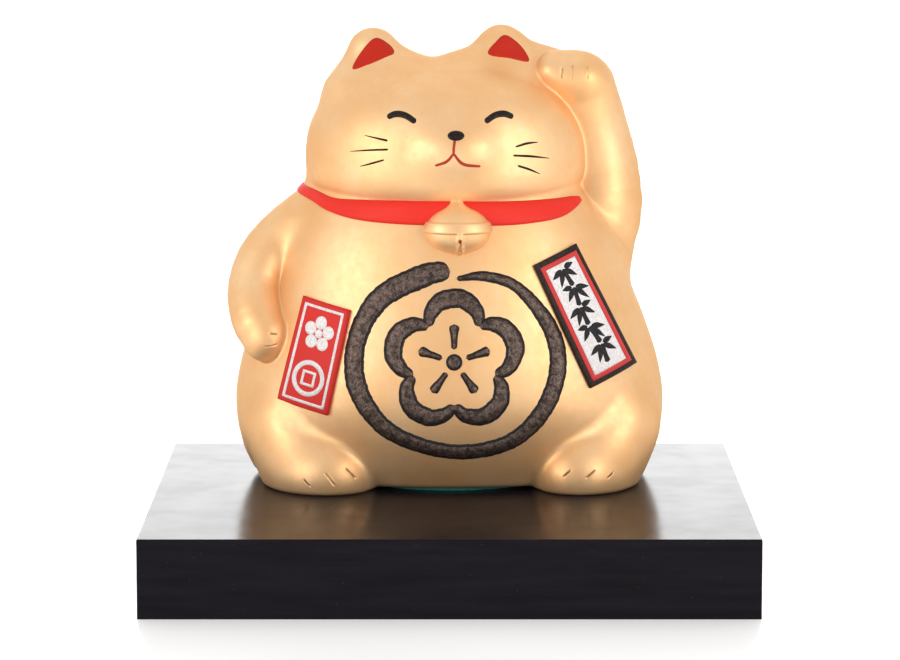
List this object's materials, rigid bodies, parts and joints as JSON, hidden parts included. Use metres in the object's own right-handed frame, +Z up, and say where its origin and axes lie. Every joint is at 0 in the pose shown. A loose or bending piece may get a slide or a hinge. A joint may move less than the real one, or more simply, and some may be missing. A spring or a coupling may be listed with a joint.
{
  "type": "beckoning cat figurine",
  "caption": "Seated round cat with one arm raised, hollow as a savings bank, with a bell, collar and plaques, standing on a flat square-edged plinth.",
  "frame": {"origin": "middle of the plinth's underside", "axes": "+Z up, the cat faces -Y, +X to the viewer's right when the cat is seen from its front"},
  "size_m": [0.2, 0.18, 0.182],
  "materials": {
    "plinth": "satin black lacquer",
    "cat_shell": "satin gold lacquer over slip-cast ceramic",
    "raised_arm": "satin gold lacquer over slip-cast ceramic",
    "collar_band": "red paint on a thin applied band",
    "collar_bell": "satin gold lacquer",
    "left_plaque": "red and white paint",
    "right_plaque": "black, red and white paint",
    "base_felt": "teal felt",
    "rubber_stopper": "moulded soft rubber"
  },
  "bodies": {
    "plinth": {"plinth": "plinth"},
    "cat": {"cat_shell": "cat_shell", "raised_arm": "raised_arm", "collar_band": "collar_band", "collar_bell": "collar_bell", "left_plaque": "left_plaque", "right_plaque": "right_plaque", "base_felt": "base_felt"},
    "stopper": {"rubber_stopper": "rubber_stopper"}
  },
  "joints": [
    {"name": "cat_lift", "type": "slide", "parent": "plinth", "child": "cat", "axis": [0, 0, 1], "range_m": [0, 0.06]},
    {"name": "stopper_pull", "type": "slide", "parent": "cat", "child": "stopper", "axis": [0, 0, -1], "range_m": [0, 0.02]}
  ],
  "couplings": [
    {"joint": "stopper_pull", "follows": "cat_lift", "ratio": 0.3333}
  ]
}
